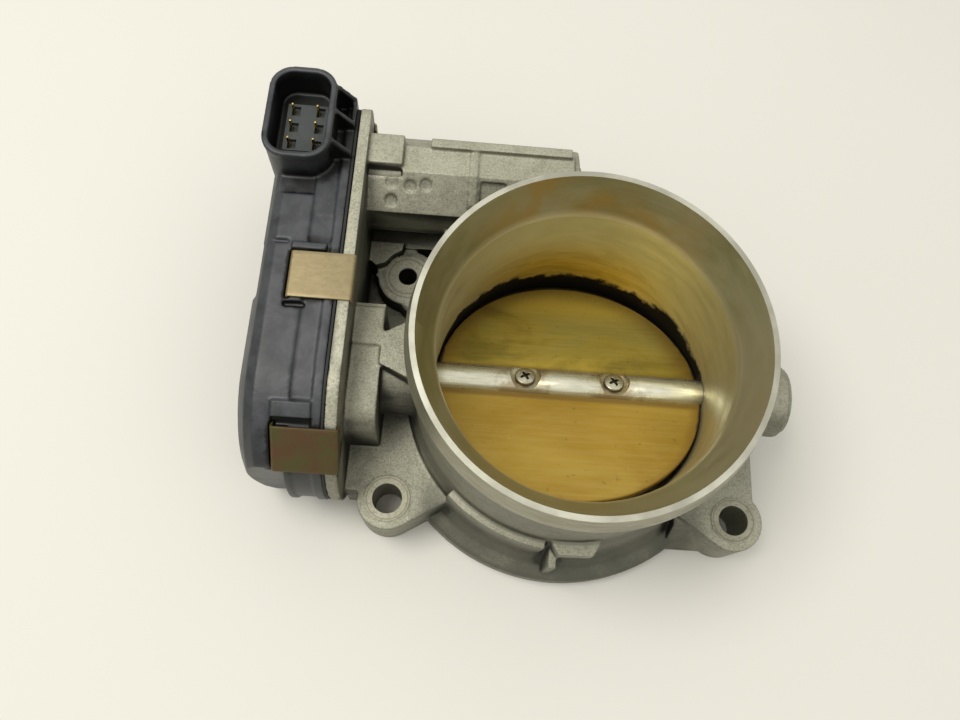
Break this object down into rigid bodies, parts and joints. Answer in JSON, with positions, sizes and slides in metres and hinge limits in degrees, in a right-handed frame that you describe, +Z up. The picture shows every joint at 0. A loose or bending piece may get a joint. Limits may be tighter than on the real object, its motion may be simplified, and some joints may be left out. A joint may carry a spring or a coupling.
{
  "type": "throttle body",
  "caption": "Electronic throttle body: cast aluminium housing with a brass butterfly plate on a steel shaft, a gear and motor drive, a clipped plastic cover and a plug socket.",
  "frame": {"origin": "centre of the bore on the flat face that seals to the intake manifold", "axes": "+Z up the bore towards the air inlet rim; +X along the throttle shaft towards the plain boss, with the gear cover at -X; +Y towards the side that holds the motor"},
  "size_m": [0.1712, 0.1462, 0.0845],
  "materials": {
    "cast_aluminium": "rough cast",
    "cover_plastic": "matt moulded",
    "clip_steel": "yellow-passivated zinc",
    "gasket_rubber": "matt",
    "insert_plastic": "matt moulded",
    "terminal_brass": "plated",
    "plate_brass": "stained brushed",
    "shaft_steel": "ground",
    "screw_steel": "zinc plated",
    "bearing_steel": "ground",
    "plug_steel": "pressed",
    "gear_plastic": "moulded",
    "rotor_plastic": "moulded",
    "board_green": "solder mask",
    "spring_steel": "oiled wire",
    "motor_steel": "zinc plated",
    "magnet_dark": "sintered",
    "brush_carbon": "graphite",
    "copper": "bare copper",
    "cap_plastic": "moulded",
    "bush_bronze": "sintered",
    "pinion_brass": "cut"
  },
  "bodies": {
    "housing": {"throttle_housing": "cast_aluminium", "gear_cover": "cover_plastic", "cover_gasket": "gasket_rubber", "cover_clips": "clip_steel", "connector_insert": "insert_plastic", "connector_terminals": "terminal_brass", "lead_frame": "copper", "sensor_board": "board_green", "left_bearing": "bearing_steel", "right_bearing": "bearing_steel", "shaft_seal": "gasket_rubber", "shaft_end_plug": "plug_steel", "idler_pin": "bearing_steel", "motor_case": "motor_steel", "motor_bracket": "motor_steel", "motor_end_cap": "cap_plastic", "motor_magnets": "magnet_dark", "motor_brushes": "brush_carbon", "motor_terminals": "terminal_brass", "motor_screws": "screw_steel", "motor_front_bush": "bush_bronze", "motor_rear_bush": "bush_bronze", "return_spring": "spring_steel"},
    "throttle": {"throttle_shaft": "shaft_steel", "throttle_plate": "plate_brass", "plate_screws": "screw_steel", "sector_gear": "gear_plastic", "sensor_rotor": "rotor_plastic"},
    "idler": {"intermediate_gear": "gear_plastic"},
    "motor_rotor": {"motor_shaft": "shaft_steel", "motor_armature": "copper", "motor_commutator": "copper", "motor_pinion": "pinion_brass"}
  },
  "joints": [
    {"name": "throttle_turn", "type": "hinge", "parent": "housing", "child": "throttle", "pos_m": [0, 0, 0.028], "axis": [-1, 0, 0], "range_deg": [-17, 67], "stiffness_Nm_per_rad": 0.4},
    {"name": "idler_turn", "type": "hinge", "parent": "housing", "child": "idler", "pos_m": [0, 0.03694, 0.03019], "axis": [-1, 0, 0], "range_deg": [-111, 28.5]},
    {"name": "motor_turn", "type": "hinge", "parent": "housing", "child": "motor_rotor", "pos_m": [0, 0.06555, 0.03602], "axis": [-1, 0, 0], "range_deg": [-130, 510]}
  ],
  "couplings": [
    {"joint": "idler_turn", "follows": "throttle_turn", "ratio": -1.6429},
    {"joint": "motor_turn", "follows": "throttle_turn", "ratio": 7.5824}
  ]
}
